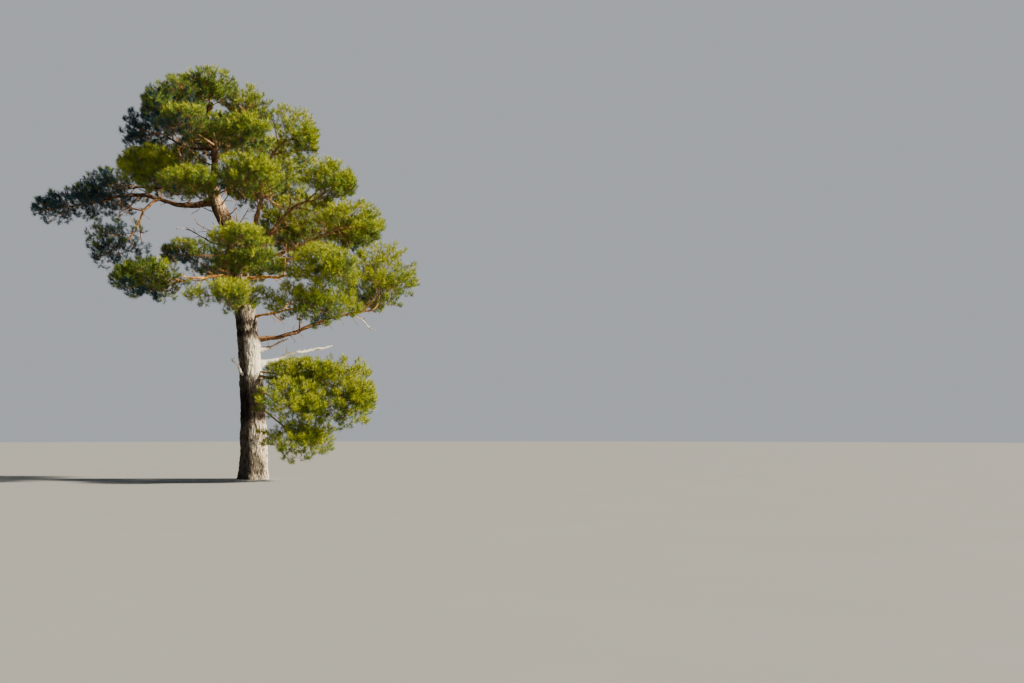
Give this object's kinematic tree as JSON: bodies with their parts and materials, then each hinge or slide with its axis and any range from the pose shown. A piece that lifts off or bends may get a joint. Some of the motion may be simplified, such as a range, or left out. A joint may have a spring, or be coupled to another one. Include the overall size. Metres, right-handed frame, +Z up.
{
  "type": "scots pine tree",
  "caption": "Old open-grown pine with a leaning trunk, long bent boughs, dead snags and flat-topped clouds of needles.",
  "frame": {"origin": "centre of the flat cut under the trunk, at ground level", "axes": "+Z up, +X to the right and -Y towards the viewer of the picture"},
  "size_m": [13.8937, 9.3669, 15.6414],
  "materials": {
    "trunk_bark": "deeply fissured grey-pink bark plates",
    "bough_bark": "thin flaking orange bark",
    "dead_wood": "bare weathered grey wood",
    "needles": "matt green needles"
  },
  "bodies": {
    "root": {"bough_back_left": "bough_bark", "bough_back_low": "bough_bark", "bough_back_right": "bough_bark", "bough_back_right_low": "bough_bark", "bough_far_left": "bough_bark", "bough_far_right": "bough_bark", "bough_front_low": "bough_bark", "bough_front_upper": "bough_bark", "bough_hanging": "bough_bark", "bough_left_front": "bough_bark", "bough_left_inner": "bough_bark", "bough_left_upper": "bough_bark", "bough_low_left": "bough_bark", "bough_right_front": "bough_bark", "bough_right_leader": "bough_bark", "bough_right_low": "bough_bark", "bough_right_outer": "bough_bark", "bough_right_upper": "bough_bark", "bough_shoulder": "bough_bark", "bough_skirt_outer": "bough_bark", "bough_top_right": "bough_bark", "needles_back_high": "needles", "needles_back_left": "needles", "needles_back_low": "needles", "needles_back_right": "needles", "needles_back_right_low": "needles", "needles_centre_right": "needles", "needles_far_left": "needles", "needles_far_right": "needles", "needles_front_high": "needles", "needles_front_low": "needles", "needles_front_middle": "needles", "needles_front_right": "needles", "needles_front_upper": "needles", "needles_hanging": "needles", "needles_left_front": "needles", "needles_left_inner": "needles", "needles_left_low_inner": "needles", "needles_left_upper": "needles", "needles_low_left": "needles", "needles_right_front": "needles", "needles_right_knob": "needles", "needles_right_low": "needles", "needles_right_outer": "needles", "needles_right_upper": "needles", "needles_shoulder": "needles", "needles_skirt_low": "needles", "needles_skirt_middle": "needles", "needles_skirt_outer": "needles", "needles_skirt_upper": "needles", "needles_top_back": "needles", "needles_top_left": "needles", "needles_top_middle": "needles", "needles_top_right": "needles", "snag_drooping": "dead_wood", "snag_left": "dead_wood", "snag_long": "dead_wood", "snag_short": "dead_wood", "snag_twisted": "dead_wood", "trunk": "trunk_bark"}
  },
  "joints": []
}
